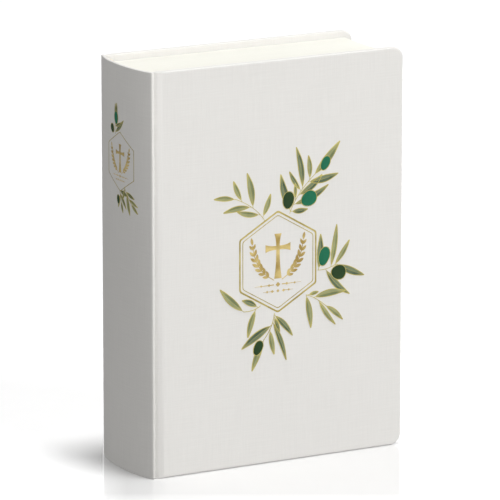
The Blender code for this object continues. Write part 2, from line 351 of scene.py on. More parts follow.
# -------------------------------------------------------------------- geometry
def build(name, verts, faces, mat, uvs=None, angle=35, weld=True, along=None):
    """A mesh in millimetres, welded, with outward normals and smooth shading below the given angle."""
    bm = bmesh.new()
    made = [bm.verts.new(v3(*v)) for v in verts]
    layer = bm.loops.layers.uv.new("weave")
    layer2 = bm.loops.layers.uv.new("along") if along else None
    index = {v: i for i, v in enumerate(made)}
    for f in faces:
        try:
            face = bm.faces.new([made[i] for i in f])
        except ValueError:
            continue
        for loop in face.loops:
            i = index[loop.vert]
            a, b = uvs[i] if uvs else (verts[i][0], verts[i][2])
            loop[layer].uv = (a * MM, b * MM)
            if along:
                loop[layer2].uv = along[i]
    if weld:
        bmesh.ops.remove_doubles(bm, verts=bm.verts, dist=1e-7)
    bmesh.ops.triangulate(bm, faces=[f for f in bm.faces if len(f.verts) > 4])
    bmesh.ops.recalc_face_normals(bm, faces=bm.faces)
    mesh = bpy.data.meshes.new(name)
    bm.to_mesh(mesh)
    bm.free()
    mesh.materials.append(mat)
    mesh.shade_smooth()
    mesh.set_sharp_from_angle(angle=math.radians(angle))
    obj = bpy.data.objects.new(name, mesh)
    bpy.context.scene.collection.objects.link(obj)
    return obj


def spine_x(s):
    return X0 + BULGE * (abs(s) / SHS) ** ROUND_P


# The cloth's outer line on one side: x from the shoulder, depth from the board's outer face
GROOVE = [(0.0, -0.74), (0.28, -0.46), (0.66, -0.32), (1.0, -0.42), (1.28, -0.78), (1.5, -1.2), (1.78, -1.5),
          (2.15, -1.56), (2.55, -1.40), (3.0, -1.12), (3.5, -0.84), (3.9, -0.66), (4.7, -0.42), (5.5, -0.24),
          (6.2, -0.12), (7.0, -0.05)]


def smooth_line(points, per=3):
    """A Catmull-Rom line through points."""
    out = []
    n = len(points)
    for i in range(n - 1):
        p0 = points[max(i - 1, 0)]
        p1, p2 = points[i], points[i + 1]
        p3 = points[min(i + 2, n - 1)]
        for k in range(per):
            t = k / per
            out.append(tuple(
                0.5 * (2 * p1[j] + (p2[j] - p0[j]) * t + (2 * p0[j] - 5 * p1[j] + 4 * p2[j] - p3[j]) * t * t
                       + (3 * p1[j] - p0[j] - 3 * p2[j] + p3[j]) * t ** 3) for j in range(2)))
    out.append(points[-1])
    return out


# The whole outer line in plan from the front cover's edge round the spine to the back's, as (x, y)
side_line = smooth_line(GROOVE)
front_part = [(SHX + x, -(HALF + s)) for x, s in reversed(side_line)]
back_part = [(SHX + x, HALF + s) for x, s in side_line]
limit = HALF - 0.74
arc = [(spine_x(s), s) for s in [-limit + 2 * limit * k / 56 for k in range(1, 56)]]
outline = front_part + arc + back_part
ridge_at = len(front_part) - 1


def plan_path(points):
    """Adds to each plan point its inward normal and the length along the line."""
    path, u = [], 0.0
    for i, (x, y) in enumerate(points):
        a = points[max(i - 1, 0)]
        b = points[min(i + 1, len(points) - 1)]
        t = Vector((b[0] - a[0], b[1] - a[1])).normalized()
        if i:
            u += math.dist(points[i - 1], points[i])
        path.append((x, y, t.y, -t.x, u))
    return path


skin = plan_path(outline)


def rim_profile(depth, r=0.45, pocket=False, turn=15.0, wall=0.5):
    """The cloth's section from tail to head as (depth, z): rounded rims, doubled for the turned-in cloth."""
    steps = [(1 - math.cos(a), 1 - math.sin(a)) for a in (0.0, math.pi / 6, math.pi / 3, math.pi / 2)]
    low = [(r * a, r * b) for a, b in steps] + [(depth - r * a, r * b) for a, b in reversed(steps)]
    if pocket:
        low += [(depth, turn), (max(depth - 0.4, 1.5), turn), (max(depth - 0.4, 1.5), 0.55), (wall, 0.55)]
    else:
        low += [(depth, turn), (wall, turn)]
    high = [(d, H - z) for d, z in reversed(low)]
    return low + high


def sweep(name, path, profiles, mat):
    """Profiles of (depth, z) carried along a plan path, as a closed solid."""
    n = len(profiles[0])
    verts, uvs, faces = [], [], []
    for (x, y, nx, ny, u), prof in zip(path, profiles):
        for d, z in prof:
            verts.append((x + nx * d, y + ny * d, z))
            uvs.append((u, z + (d if z < H / 2 else -d)))
    for i in range(len(path) - 1):
        for j in range(n):
            k = (j + 1) % n
            faces.append((i * n + j, i * n + k, (i + 1) * n + k, (i + 1) * n + j))
    faces.append(tuple(range(n)))
    faces.append(tuple(range((len(path) - 1) * n, len(path) * n)))
    return build(name, verts, faces, mat, uvs)


def x_from_shoulder(i):
    return outline[i][0] - SHX


def part_of(x_low, x_high, side):
    """Indices of the outline between two distances from the shoulder on one side, in order."""
    mid = len(outline) // 2
    idx = range(0, ridge_at + 1) if side < 0 else range(len(outline) - ridge_at - 1, len(outline))
    return [i for i in idx if x_low - 1e-6 <= x_from_shoulder(i) <= x_high + 1e-6]


# Cut lines of the cloth, on points of the line: spine | shoulder fold | board fold | board
CUT_1, CUT_2 = 0.66, 3.9


RIM_IN = HALF - 3.4          # inner face of the turned-in cloth across the joints


def rim_point(i):
    """Where the inner face of the head and tail rims lies, opposite point i of the outline."""
    x, y, nx, ny, _ = skin[i]
    rel, s = x - SHX, abs(y)
    side = -1 if y < 0 else 1
    if i <= ridge_at or i >= len(outline) - 1 - ridge_at:
        t = min(max((2.6 - rel) / 2.6, 0.0), 1.0)
        return (x + 1.15 * t ** 1.25, side * RIM_IN)
    t = min(max((s - 28.4) / (limit - 28.4), 0.0), 1.0)
    px, py = x + nx * SPINE_RIM, y + ny * SPINE_RIM
    ex, ey = SHX + 1.15, side * RIM_IN
    t = t * t * (3 - 2 * t)
    return (px + (ex - px) * t, py + (ey - py) * t)


def rim_row(i):
    """The outline's point with the direction and depth of its rim."""
    x, y, _, _, u = skin[i]
    px, py = rim_point(i)
    deep = math.dist((x, y), (px, py))
    return (x, y, (px - x) / deep, (py - y) / deep, u), deep


first = part_of(CUT_1, 99, -1)[-1]
last = part_of(CUT_1, 99, 1)[0]
idx = list(range(first, last + 1))
rows = [rim_row(i) for i in idx]
spine = sweep("spine_linen", [r for r, _ in rows], [rim_profile(d, pocket=True) for _, d in rows], CLOTH)
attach(spine, "spine")
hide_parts("spine_cloth")

for side, word in ((-1, "front"), (1, "back")):
    a = part_of(CUT_1, CUT_2, side)
    rows = [rim_row(i) for i in a]
    strip = sweep(f"{word}_shoulder_linen", [r for r, _ in rows], [rim_profile(d) for _, d in rows], CLOTH)
    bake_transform(strip)
    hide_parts(f"{word}_joint_cloth")
    b = part_of(CUT_2, PLATE_X, side)
    rows = [rim_row(i) for i in b]
    strip = sweep(f"{word}_groove_linen", [r for r, _ in rows], [rim_profile(d) for _, d in rows], CLOTH)
    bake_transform(strip)


def cover_plate(side, word):
    """The cloth over one board: soft edges all round, turned in over the inside."""
    x0 = SHX + PLATE_X
    ro, ri = 0.8, 0.55
    rings = [(3.0, 0.0), (1.6, 0.0)]
    for k in range(5):
        a = k * math.pi / 8
        rings.append((ro * (1 - math.sin(a)), -ro * (1 - math.cos(a))))
    for k in range(4, -1, -1):
        a = k * math.pi / 8
        rings.append((ri * (1 - math.sin(a)), -COVER_IN + ri * (1 - math.cos(a))))
    rings += [(1.6, -COVER_IN), (3.0, -COVER_IN)]
    columns = [(x0, -0.05), (x0 + 0.4, -0.022), (x0 + 0.8, -0.006), (x0 + 1.3, 0.0), (x0 + 12, 0.0),
               (X1 - 30, 0.0), (X1 - CORNER - 4, 0.0)]
    arc_steps = 10
    verts, uvs = [], []
    loops = []
    for d, s in rings:
        half = []
        for x, drop in columns:
            half.append((x, d, s + drop * max(0.0, 1 + s / 1.2), 0, -1))
        for k in range(arc_steps + 1):
            f = -math.pi / 2 + k * math.pi / 2 / arc_steps
            r = CORNER - d
            half.append((X1 - CORNER + r * math.cos(f), CORNER + r * math.sin(f), s, math.cos(f), math.sin(f)))
        loop = []
        for mirror in (False, True):
            for x, z, depth, nx, nz in (reversed(half) if mirror else half):
                zz, nn = (H - z, -nz) if mirror else (z, nz)
                loop.append(len(verts))
                verts.append((x, side * (HALF + depth), zz))
                uvs.append((x - depth * nx, zz - depth * nn))
        loops.append(loop)
    m = len(loops[0])
    faces = []
    for a, b in zip(loops, loops[1:]):
        for i in range(m - 1):
            faces.append((a[i], a[i + 1], b[i + 1], b[i]))
    for loop in (loops[0], loops[-1]):
        for i in range(m // 2 - 1):
            faces.append((loop[i], loop[i + 1], loop[m - 2 - i], loop[m - 1 - i]))
    faces.append(tuple([lp[0] for lp in loops] + [lp[-1] for lp in reversed(loops)]))
    obj = build(f"{word}_cover_linen", verts, faces, CLOTH, uvs)
    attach(obj, f"{word}_cover")
    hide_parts(f"{word}_cover_cloth", f"{word}_board")
    return obj


for side, word in ((-1, "front"), (1, "back")):
    cover_plate(side, word)


# Endpapers: the strip across the joint in two pieces, and the flyleaf with its fold
def ribbon_solid(name, line, thick, z0, z1, mat, corner=0.0):
    """A sheet standing on a plan line of (x, y), with its far vertical edge's corners cut round."""
    path = plan_path(line)
    verts, uvs, faces = [], [], []
    end = line[-1][0]
    for x, y, nx, ny, u in path:
        lift = 0.0
        if corner and end - x < corner:
            lift = corner - math.sqrt(max(corner ** 2 - (corner - (end - x)) ** 2, 0.0))
        for d, z in ((0, z0 + lift), (thick, z0 + lift), (thick, z1 - lift), (0, z1 - lift)):
            verts.append((x + nx * d, y + ny * d, z))
            uvs.append((u, z))
    for i in range(len(path) - 1):
        for j in range(4):
            k = (j + 1) % 4
            faces.append((i * 4 + j, i * 4 + k, (i + 1) * 4 + k, (i + 1) * 4 + j))
    faces.append((0, 1, 2, 3))
    n = len(path) - 1
    faces.append(tuple(n * 4 + j for j in range(4)))
    return build(name, verts, faces, mat, uvs)


Z_LOW, Z_HIGH = SQUARE, H - SQUARE
for side, word in ((-1, "front"), (1, "back")):
    t = 0.25
    inner = HALF - 3.6                       # the strip's outer surface

    def line(points):
        pts = [(SHX + x, side * s) for x, s in points]
        return pts

    flex = line([(2.3, inner), (2.7, inner), (3.1, inner), (3.5, inner), (3.9, inner), (4.3, inner)])
    strip = ribbon_solid(f"{word}_endpaper_hinge", flex if side < 0 else flex, t if side > 0 else -t, Z_LOW, Z_HIGH, ENDS)
    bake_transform(strip)
    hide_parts(f"{word}_endpaper_fold")
    flex = line([(4.3, inner), (5.0, inner), (5.7, inner), (5.95, inner), (6.2, inner), (6.5, inner), (6.8, inner), (7.1, inner), (7.4, inner)])
    strip = ribbon_solid(f"{word}_endpaper_joint", flex, t if side > 0 else -t, Z_LOW, Z_HIGH, ENDS)
    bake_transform(strip)

    turn = joint[f"{word}_leaf_turn"]["pos_m"]
    bend = turn[0] / MM
    fold_r = (inner - t / 2 - (BLOCK_S - t / 2)) / 2
    cs = (inner - t / 2 + BLOCK_S - t / 2) / 2
    pts = []
    for k in range(7):
        a = math.pi / 2 + k * math.pi / 6
        pts.append((SHX + 2.3 + (fold_r + t / 2) * math.cos(a), side * (cs + (fold_r + t / 2) * math.sin(a))))
    far = X1 - SQUARE
    for x in (bend - 1.5, bend - 0.9, bend - 0.45, bend, bend + 0.45, bend + 0.9, bend + 1.5, bend + 4, bend + 60,
              far - 1.2, far - 0.8, far - 0.4, far - 0.15, far):
        pts.append((x, side * (BLOCK_S - t)))
    # the line above is the sheet's inner face; the sheet lies outward of it
    leaf = ribbon_solid(f"{word}_fly_sheet", pts, -t if side > 0 else t, Z_LOW, Z_HIGH, ENDS, corner=1.2)
    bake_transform(leaf)
    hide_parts(f"{word}_flyleaf")


# Gatherings: each runs from its folded back, glued to its neighbours, out to the fore-edge
def spine_inner_x(s, offset):
    """x of the spine's curve moved inward by offset, at distance s from the mid plane."""
    best = None
    for k in range(161):
        q = SHS * k / 160
        d = 1e-3
        dx = (spine_x(q + d) - spine_x(max(q - d, 0.0))) / (d + min(q, d))
        n = Vector((1.0, -dx)).normalized()
        px, ps = spine_x(q) + n.x * offset, q + n.y * offset
        if best is None or abs(ps - s) < best[0]:
            best = (abs(ps - s), px)
    return best[1]


def fore_x(s):
    return X1 - SQUARE - 1.8 * (1 - (min(abs(s), BLOCK_S) / BLOCK_S) ** 2)


first_turn = joint["gathering_14_turn"]["pos_m"]
PITCH = (joint["gathering_01_turn"]["pos_m"][1] - joint["gathering_02_turn"]["pos_m"][1]) / -MM
for side, word in ((-1, "front"), (1, "back")):
    for k in range(SIGS):
        number = SIGS - k if side < 0 else SIGS + 1 + k
        j = joint[f"gathering_{number:02d}_turn"]
        bend = j["pos_m"][0] / MM
        s_in = k * PITCH + 0.012
        s_out = (k + 1) * PITCH - 0.012
        mid_s = (s_in + s_out) / 2
        b_in, b_out, b_mid = (spine_inner_x(s, FOLDS) for s in (s_in, s_out, mid_s))
        f_in, f_out = fore_x(s_in), fore_x(s_out)
        columns = []  # (x at s_in, x at s_out, s_in, s_out, lift)
        back = 0.9
        for c in range(4):
            a = c * math.pi / 6
            shrink = (1 - math.sin(a)) * (s_out - s_in) * 0.32
            off = back * (1 - math.cos(a)) - back
            columns.append((b_in + back + off, b_out + back + off, s_in + shrink, s_out - shrink, 0.0))
        for x in (bend - 1.7, bend - 1.15, bend - 0.8, bend - 0.5, bend - 0.25, bend, bend + 0.25, bend + 0.5,
                  bend + 0.8, bend + 1.15, bend + 1.7, bend + 4.0, bend + 20.0, bend + 80.0):
            columns.append((x, x, s_in, s_out, 0.0))
        r = 1.2
        for c in range(5):
            a = c * math.pi / 8
            columns.append((f_in - r + r * math.sin(a), f_out - r + r * math.sin(a), s_in, s_out, r * (1 - math.cos(a))))
        verts, uvs, faces = [], [], []
        for xi, xo, si, so, lift in columns:
            for x, s, z in ((xi, si, Z_LOW + lift), (xi, si, Z_HIGH - lift), (xo, so, Z_HIGH - lift), (xo, so, Z_LOW + lift)):
                verts.append((x, side * s, z))
                uvs.append((x + (z if z > H / 2 else -z), side * s))
        for i in range(len(columns) - 1):
            for q in range(4):
                w = (q + 1) % 4
                faces.append((i * 4 + q, i * 4 + w, (i + 1) * 4 + w, (i + 1) * 4 + q))
        faces.append((0, 1, 2, 3))
        n = len(columns) - 1
        faces.append(tuple(n * 4 + q for q in range(4)))
        obj = build(f"pages_{number:02d}", verts, faces, PAGES, uvs, angle=30)
        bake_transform(obj)
        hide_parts(f"gathering_{number:02d}", *(["glued_backs"] if number == 14 else []))


# ------------------------------------------------- stamped ornament, own design
class Stamp:
    """Flat shapes laid on a surface. Each is a strip of point pairs, raised as a thin closed solid. Its "along" UV runs
    from base to tip and from one side to the other."""

    def __init__(self, place):
        self.place = place
        self.sheets = {}
        self.layer = 0.0        # each shape lies a hair above the one before, so that none share a plane

    def strip(self, kind, pairs, height, closed=False, sink=0.03):
        verts, faces, uvs, along = self.sheets.setdefault(kind, ([], [], [], []))
        self.layer += 0.0007
        height += self.layer
        base = len(verts)
        n = len(pairs)
        for i, (left, right) in enumerate(pairs):
            for h, p, side in ((height, left, 0.0), (height, right, 1.0), (-sink, right, 1.0), (-sink, left, 0.0)):
                verts.append(self.place(p[0], p[1], h))
                uvs.append(p)
                along.append((i / max(n - 1, 1), side))
        last = n if closed else n - 1
        for i in range(last):
            a, b = base + i * 4, base + ((i + 1) % n) * 4
            for q in range(4):
                w = (q + 1) % 4
                faces.append((a + q, a + w, b + w, b + q))
        if not closed:
            faces.append(tuple(base + q for q in range(4)))
            faces.append(tuple(base + (n - 1) * 4 + q for q in range(4)))

    def finish(self, prefix, body, mats):
        for kind, (verts, faces, uvs, along) in self.sheets.items():
            obj = build(f"{prefix}_{kind}", verts, faces, mats[kind], uvs, weld=False, angle=40, along=along)
            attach(obj, body)

    # shapes
    def line(self, kind, pts, width, height, taper=False):
        pairs = []
        n = len(pts)
        for i, p in enumerate(pts):
            a, b = pts[max(i - 1, 0)], pts[min(i + 1, n - 1)]
            t = Vector((b[0] - a[0], b[1] - a[1]))
            t = t.normalized() if t.length else Vector((1, 0))
            w = width / 2
            if taper:
                w *= max(0.25, 1 - 0.75 * i / (n - 1))
            pairs.append(((p[0] - t.y * w, p[1] + t.x * w), (p[0] + t.y * w, p[1] - t.x * w)))
        self.strip(kind, pairs, height)

    def leaf(self, base, angle, length, width, bend, fill, scale=1.0, vein=True):
        """A slender leaf from base towards angle (degrees from +a), curving by bend and flicking back at its tip."""
        n = 18
        axis = []
        a = math.radians(angle)
        x, y = base
        for i in range(n + 1):
            axis.append((x, y, a))
            f = i / n
            turn = math.radians(bend) * (1.7 - 2.3 * max(f - 0.62, 0.0) / 0.38 if f > 0.62 else 1.7 * (0.4 + f)) / n
            step = length / n
            x += step * math.cos(a + turn / 2)
            y += step * math.sin(a + turn / 2)
            a += turn
        body, left, right = [], [], []
        rim = 0.44 * scale
        for i, (x, y, t) in enumerate(axis):
            f = i / n
            w = width / 2 * (math.sin(math.pi * f ** 0.88) ** 0.92 if 0 < f < 1 else 0.0) + 0.06 * scale
            nx, ny = -math.sin(t), math.cos(t)
            body.append(((x + nx * w, y + ny * w), (x - nx * w, y - ny * w)))
            o = w + rim * 0.5
            q = max(w - rim * 0.5, 0.0)
            left.append(((x + nx * o, y + ny * o), (x + nx * q, y + ny * q)))
            right.append(((x - nx * q, y - ny * q), (x - nx * o, y - ny * o)))
        self.strip(fill, body, 0.035)
        self.strip("rim", left, 0.055)
        self.strip("rim", right, 0.055)
        if vein:
            mid = [(x, y) for x, y, _ in axis[1:-3]]
            self.line("rim", mid, 0.26 * scale, 0.05, taper=True)

    def olive(self, centre, angle, length, width, fill, scale=1.0):
        n = 16
        t = math.radians(angle)
        ax, ay = math.cos(t), math.sin(t)
        body, ring = [], []
        for i in range(n + 1):
            f = math.cos(math.pi * (1 - i / n))
            w = width / 2 * math.sqrt(max(1 - f * f, 0.0)) * (1 + 0.10 * f) + 0.02
            cx, cy = centre[0] + ax * f * length / 2, centre[1] + ay * f * length / 2
            body.append(((cx - ay * w, cy + ax * w), (cx + ay * w, cy - ax * w)))
        self.strip(fill, body, 0.075)
        m = 32
        for i in range(m):
            g = 2 * math.pi * i / m
            pts = []
            for grow in (0.42 * scale, 0.12 * scale):
                px = (length / 2 + grow) * math.cos(g)
                py = (width / 2 + grow) * math.sin(g) * (1 + 0.10 * math.cos(g))
                pts.append((centre[0] + ax * px - ay * py, centre[1] + ay * px + ax * py))
            ring.append(tuple(pts))
        self.strip("rim", ring, 0.085, closed=True)

    def sprig(self, stem, leaves, width=0.34, scale=1.0):
        """A curved stem through three points, with leaves set on it at (share, side angle, length, width, bend, fill)."""
        p0, p1, p2 = stem
        pts, dirs = [], []
        n = 18
        for i in range(n + 1):
            t = i / n
            x = (1 - t) ** 2 * p0[0] + 2 * t * (1 - t) * p1[0] + t * t * p2[0]
            y = (1 - t) ** 2 * p0[1] + 2 * t * (1 - t) * p1[1] + t * t * p2[1]
            dx = 2 * (1 - t) * (p1[0] - p0[0]) + 2 * t * (p2[0] - p1[0])
            dy = 2 * (1 - t) * (p1[1] - p0[1]) + 2 * t * (p2[1] - p1[1])
            pts.append((x, y))
            dirs.append(math.degrees(math.atan2(dy, dx)))
        self.line("stem", pts, width * scale, 0.045)
        for share, turn, length, wide, bend, fill in leaves:
            i = round(share * n)
            stalk = 1.6 * scale
            a = math.radians(dirs[i] + turn)
            bx, by = pts[i][0] + stalk * math.cos(a), pts[i][1] + stalk * math.sin(a)
            self.line("stem", [pts[i], (bx, by)], width * scale * 0.9, 0.045)
            self.leaf((bx, by), dirs[i] + turn, length, wide, bend, fill, scale)

    def hexagon(self, kind, cx, cy, half_w, half_h, shoulder, width, height, radius=1.4):
        def corners(g):
            k = (half_w + g) / half_w
            return [(cx, cy + half_h * k), (cx + half_w * k, cy + shoulder * k), (cx + half_w * k, cy - shoulder * k),
                    (cx, cy - half_h * k), (cx - half_w * k, cy - shoulder * k), (cx - half_w * k, cy + shoulder * k)]

        rings = []
        for g in (width / 2, -width / 2):
            c = corners(g)
            ring = []
            for i in range(6):
                p, q, r = Vector(c[i - 1]), Vector(c[i]), Vector(c[(i + 1) % 6])
                a, b = (p - q).normalized() * radius, (r - q).normalized() * radius
                for t in (0, 0.25, 0.5, 0.75, 1):
                    ring.append(tuple(q + a * (1 - t) ** 2 + b * t * t))
                edge = r - q
                for t in (0.3, 0.5, 0.7):
                    ring.append(tuple(q + edge * t))
            rings.append(ring)
        self.strip(kind, list(zip(*rings)), height, closed=True)

    def emblem(self, cx, cy, k):
        """A plain cross between two ears of grain, over two rules set with lozenges."""
        def flare(x, y, ang, length, w0, w1, h):
            t = math.radians(ang)
            ax, ay = math.cos(t), math.sin(t)
            pairs = []
            for i in range(9):
                f = i / 8
                w = (w0 + (w1 - w0) * f ** 2.6) / 2
                px, py = x + ax * length * f, y + ay * length * f
                pairs.append(((px - ay * w, py + ax * w), (px + ay * w, py - ax * w)))
            self.strip("gold", pairs, h)

        hub = (cx, cy + 7.4 * k)
        flare(hub[0], hub[1], 90, 8.4 * k, 2.3 * k, 4.8 * k, 0.066)
        flare(hub[0], hub[1], -90, 18.4 * k, 2.3 * k, 5.0 * k, 0.066)
        flare(hub[0] + 1.1 * k, hub[1], 0, 7.2 * k, 2.3 * k, 4.8 * k, 0.06)
        flare(hub[0] - 1.1 * k, hub[1], 180, 7.2 * k, 2.3 * k, 4.8 * k, 0.06)
        for s in (-1, 1):
            stem = []
            for i in range(25):
                t = i / 24
                stem.append((cx + s * (2.6 + 14.4 * math.sin(t * 1.4)) * k, cy + (-11.8 + 22.4 * t - 3.4 * math.sin(t * 3.0)) * k))
            self.line("gold", stem, 0.5 * k, 0.05)
            for i in range(4, 24, 3):
                d = math.degrees(math.atan2(stem[i + 1][1] - stem[i - 1][1], stem[i + 1][0] - stem[i - 1][0]))
                size = (0.78 + 0.34 * math.sin(math.pi * i / 24)) * k
                for j, turn in enumerate((30, -30)):
                    self.grain(stem[i], d + turn, 4.3 * size, 1.75 * size, 0.056 + 0.003 * (i // 3) + 0.0015 * j)
            self.grain(stem[-1], d, 4.6 * k, 1.7 * k, 0.086)
        for drop, reach, thick in ((14.6, 15.5, 0.62), (18.4, 10.0, 0.5)):
            y = cy - drop * k
            for s in (-1, 1):
                pts = [(cx + s * (2.6 + (reach - 2.6) * i / 8) * k, y) for i in range(9)]
                self.line("gold", pts, thick * k, 0.05, taper=True)
                for share in (0.38, 0.72):
                    x = cx + s * reach * share * k
                    r = 0.95 * k * (1.15 - share * 0.5)
                    self.strip("gold", [((x - r, y + 0.02), (x - r, y - 0.02)), ((x, y + r), (x, y - r)),
                                        ((x + r, y + 0.02), (x + r, y - 0.02))], 0.058)
            r = 1.5 * k if drop < 16 else 1.0 * k
            self.strip("gold", [((cx - r, y + 0.02), (cx - r, y - 0.02)), ((cx, y + r), (cx, y - r)),
                                ((cx + r, y + 0.02), (cx + r, y - 0.02))], 0.06)

    def grain(self, base, angle, length, width, height=0.055):
        t = math.radians(angle)
        ax, ay = math.cos(t), math.sin(t)
        pairs = []
        for i in range(9):
            f = i / 8
            w = width / 2 * math.sin(math.pi * f) ** 0.8 + 0.02 if 0 < f < 1 else 0.02
            px, py = base[0] + ax * length * (0.08 + f), base[1] + ay * length * (0.08 + f)
            pairs.append(((px - ay * w, py + ax * w), (px + ay * w, py - ax * w)))
        self.strip("gold", pairs, height)


MATS = {"rim": GOLD_LINE, "stem": GOLD_LINE, "frame": GOLD_FRAME, "spine_frame": GOLD_FRAME, "gold": GOLD, "leaf": LEAF, "deep": LEAF_DARK,
        "emerald": EMERALD, "dark": DARK}

front = Stamp(lambda a, b, h: (a, -(HALF + h), b))
CX, CZ = 1.8, 120.4
front.hexagon("frame", CX, CZ, 25.2, 30.1, 15.3, 0.95, 0.062)
front.hexagon("frame", CX, CZ, 23.3, 27.8, 14.1, 0.44, 0.062)
front.emblem(CX, CZ + 1.0, 1.0)
L, D = "leaf", "deep"
front.sprig([(-7, 145.8), (-13, 155), (-26, 160.4)],
            [(0.10, -64, 13, 2.9, 10, L), (0.22, 44, 14, 3.0, -16, L), (0.50, -48, 20, 3.8, 12, L), (0.56, 34, 17, 3.0, 14, L),
             (0.82, -34, 12.5, 2.7, -10, L), (1.0, 12, 13, 2.6, 10, L)])
front.sprig([(9.5, 148.2), (14, 160), (27, 170.5)],
            [(0.04, -72, 10, 2.8, 14, D), (0.08, 44, 22, 4.2, -10, D), (0.24, -50, 24, 3.8, 22, D), (0.34, 34, 8.5, 1.6, 0, D),
             (0.46, -30, 18, 3.6, 22, D), (0.55, 78, 13, 2.4, -12, D), (0.62, 44, 24, 3.4, 14, D), (0.80, -42, 19, 4.0, 14, D),
             (0.82, 46, 13, 2.6, 10, L), (0.97, 4, 24, 4.4, 6, L)])
front.olive((8.6, 156.3), 80, 10.0, 7.0, "dark")
front.olive((22.3, 155.9), 26, 10.4, 8.6, "emerald")
front.olive((33.2, 175.8), 62, 8.6, 5.4, "emerald")
front.sprig([(28.2, 112.4), (34, 111.6), (41, 114.6)],
            [(0.03, 88, 20, 3.8, 8, D), (0.42, -66, 22, 3.6, 24, D), (0.70, 62, 24, 3.0, 6, L), (0.88, 30, 16, 2.6, 8, L),
             (1.0, -52, 19, 4.0, 8, D)])
front.olive((32.6, 120.2), 74, 11.2, 6.8, "emerald")
front.olive((42.3, 109.6), -8, 9.6, 8.4, "dark")
front.sprig([(20.6, 98.4), (28, 96), (36, 88.4)],
            [(0.02, -58, 19, 3.4, -10, L), (0.06, 30, 6, 1.8, 0, L), (0.34, 40, 20, 3.8, -14, L), (0.58, -26, 18, 2.4, 12, L),
             (0.86, 6, 14, 2.6, -12, L)])
front.sprig([(-0.6, 89.8), (-1.2, 82), (-7.6, 74.6)],
            [(0.05, 54, 17, 3.2, -12, D), (0.12, 30, 9, 2.0, 0, D), (0.36, 44, 24, 2.8, -10, D), (0.46, -40, 22, 4.2, 8, D),
             (0.62, 36, 14, 2.8, 6, L), (1.0, 14, 18, 3.4, 6, L)])
front.olive((-11.4, 70.2), 66, 8.8, 5.4, "dark")
front.sprig([(-9.8, 95.4), (-14, 92.4), (-21, 93.0)],
            [(0.18, -60, 10.5, 3.2, 14, D), (0.36, 48, 16, 3.2, 10, L), (1.0, -34, 20, 3.8, -10, L)])
front.finish("front", "front_cover", MATS)

back_of = Stamp(lambda a, b, h: (spine_x(a) - h, a, b))
SY, SZ = -1.0, 183.2
back_of.hexagon("spine_frame", SY, SZ, 15.3, 17.4, 8.8, 0.38, 0.06, 0.9)
back_of.emblem(SY, SZ + 0.4, 0.62)
back_of.sprig([(4.4, 198.4), (6.0, 203), (3.8, 206)],
              [(0.10, 70, 12.5, 2.4, -10, D), (0.55, 66, 8.5, 1.7, -12, D), (0.62, 18, 6, 1.4, 0, L), (0.92, -22, 10.5, 2.0, -8, D),
               (1.0, -44, 9.5, 1.7, 8, D)], scale=0.62)
back_of.olive((8.4, 201.4), 66, 5.2, 4.0, "dark", 0.6)
back_of.olive((3.4, 208.2), 86, 7.4, 4.2, "emerald", 0.6)
back_of.sprig([(-0.4, 166.4), (-1.4, 164), (-2.2, 160)],
              [(0.05, -58, 8.4, 2.3, 4, D), (0.35, -26, 10.0, 1.9, 6, D), (0.45, 34, 7.4, 1.6, 0, L), (0.95, -6, 6.4, 1.7, 0, D)], scale=0.62)
back_of.olive((1.2, 160.6), 84, 5.2, 2.8, "dark", 0.6)
back_of.sprig([(-6.2, 168.8), (-9, 165.2), (-13.4, 160.6)],
              [(0.06, 56, 6.4, 1.7, 0, L), (0.26, -30, 8.4, 1.8, 0, D), (0.42, 30, 11.5, 2.4, -8, L), (0.74, -24, 8.6, 1.5, 0, L),
               (1.0, -8, 7.4, 1.6, 0, L)], scale=0.62)
back_of.finish("spine", "spine", MATS)


# CAD nodes that keep their shape get their finish
def dress(name, mat):
    o = nodes[name]
    o.data.materials.clear()
    o.data.materials.append(mat)


def add_uv(name):
    """Flat sheets that keep their CAD mesh get the UV that the paper reads, from x and z."""
    me = nodes[name].data
    layer = me.uv_layers.get("weave") or me.uv_layers.new(name="weave")
    for loop in me.loops:
        co = me.vertices[loop.vertex_index].co
        layer.data[loop.index].uv = (co.x, co.z)


for name in nodes:
    if name.endswith("_pastedown"):
        add_uv(name)
        dress(name, ENDS)
    elif "mull" in name:
        dress(name, GAUZE)
    elif name.endswith("_band"):
        dress(name, SILK)
    elif "stitch" in name:
        dress(name, THREAD)
    elif "kraft" in name:
        dress(name, KRAFT)
    elif name == "spine_inlay":
        dress(name, CARD)
    elif name.endswith("_board"):
        dress(name, BOARD)

# ------------------------------------------------------------- floor and light
scene = bpy.context.scene
scene.view_settings.view_transform = "Standard"
scene.view_settings.look = "None"

KEY, FILL, TOP_FILL, SIDE, REAR, DOME, FLOOR_LIFT, FLOOR_GLOW = 0.615, 0.47, 0.235, 0.15, 0.30, 0.245, 0.03, 0.34
AZ, EL = math.radians(-28.737), math.radians(13.172)
BACK = Vector((math.sin(AZ) * math.cos(EL), -math.cos(AZ) * math.cos(EL), math.sin(EL)))

m, nt, p = new_mat("floor_white", rough=0.5)
nt.nodes.remove(p)
out = nt.nodes["Material Output"]
lp = nt.nodes.new("ShaderNodeLightPath")
shade = nt.nodes.new("ShaderNodeMix")
shade.data_type = "FLOAT"
nt.links.new(lp.outputs["Is Camera Ray"], shade.inputs["Factor"])
shade.inputs[2].default_value = 0.10
shade.inputs[3].default_value = 0.97
grain = noise(nt, mapped(nt, nt.nodes.new("ShaderNodeTexCoord").outputs["Object"], (40, 40, 40)), 1.0, 3.0)
tone = maths(nt, "MULTIPLY", shade.outputs[0], remap(nt, grain, 0.3, 0.7, 0.99, 1.0))
diffuse = node(nt, "ShaderNodeBsdfDiffuse")
lift = node(nt, "ShaderNodeEmission", Strength=FLOOR_LIFT)
glow = nt.nodes.new("ShaderNodeMix")
glow.data_type = "FLOAT"
nt.links.new(lp.outputs["Is Camera Ray"], glow.inputs["Factor"])
